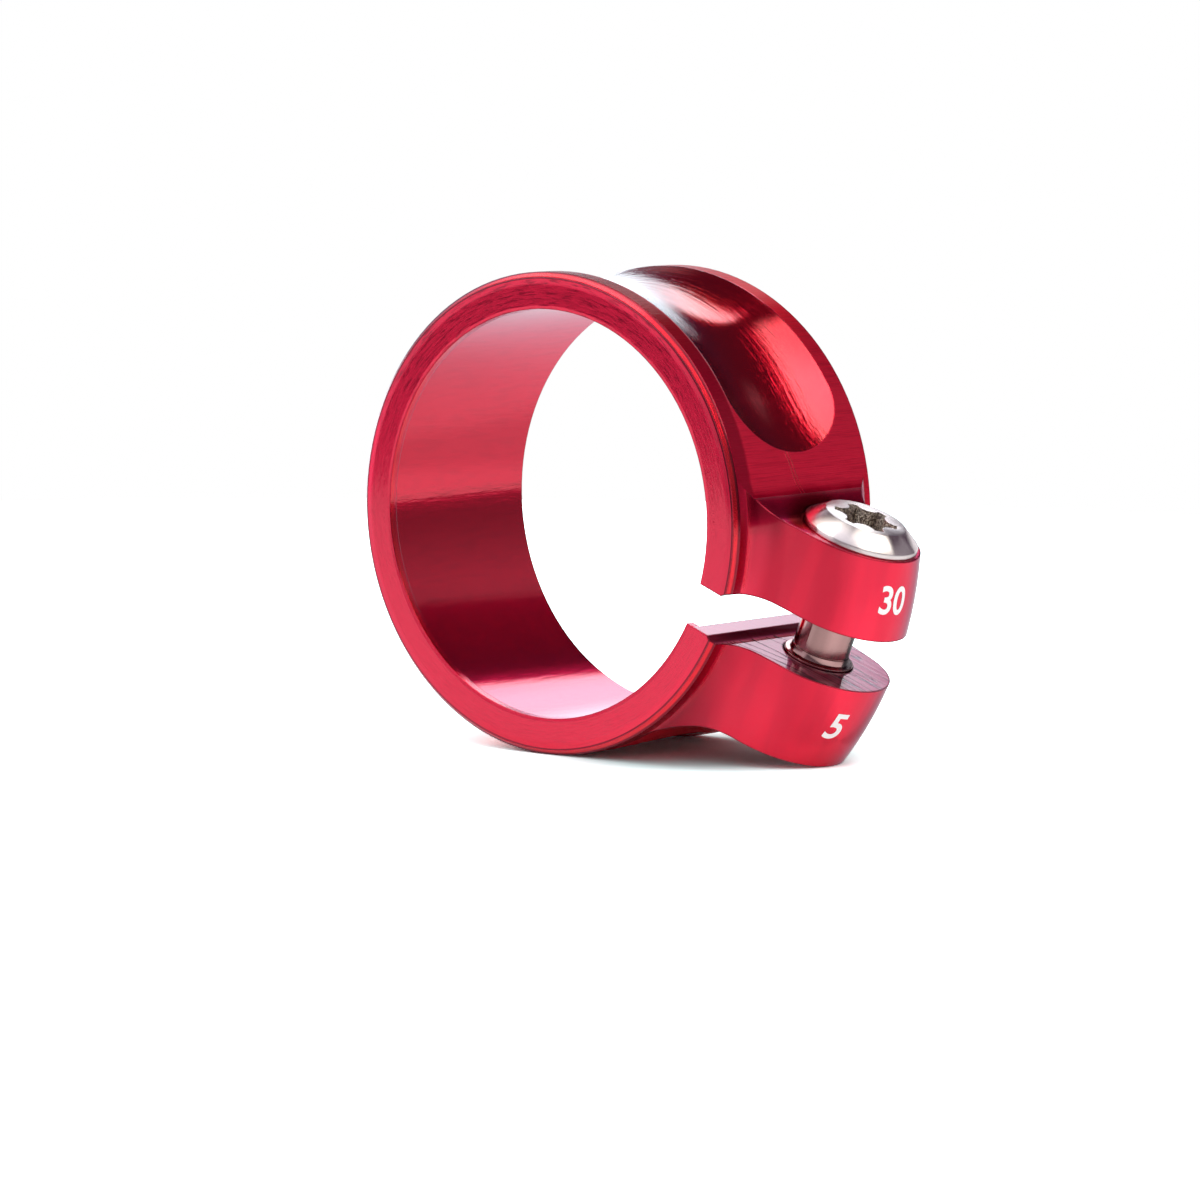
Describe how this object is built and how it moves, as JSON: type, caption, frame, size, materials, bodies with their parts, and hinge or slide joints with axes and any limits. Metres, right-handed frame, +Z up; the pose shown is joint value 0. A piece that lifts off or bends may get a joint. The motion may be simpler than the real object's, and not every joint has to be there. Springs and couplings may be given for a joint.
{
  "type": "seatpost clamp",
  "caption": "Split ring clamp with ears, an inner stop lip and a cross bolt that closes it round the top of a bicycle seat tube to hold the seatpost.",
  "frame": {"origin": "on the axis of the bore, midway along the width of the ring", "axes": "+Y along the bore away from the lip, the way the seat tube leaves; +X towards the ears; +Z up as the clamp stands on its ring and its lower ear"},
  "size_m": [0.0426, 0.0158, 0.034],
  "materials": {
    "red_anodised_aluminium": "turned and milled, anodised clear red, glossy, polished in the groove",
    "bare_titanium": "bare titanium alloy, turned, grainy in the forged drive"
  },
  "bodies": {
    "clamp": {"clamp_body": "red_anodised_aluminium"},
    "bolt": {"clamp_bolt": "bare_titanium"}
  },
  "joints": [
    {"name": "bolt_turn", "type": "hinge", "parent": "clamp", "child": "bolt", "pos_m": [0.02163, 0, -0.00075], "axis": [0.379, 0, 0.9254], "range_deg": [-450, 2490]}
  ]
}
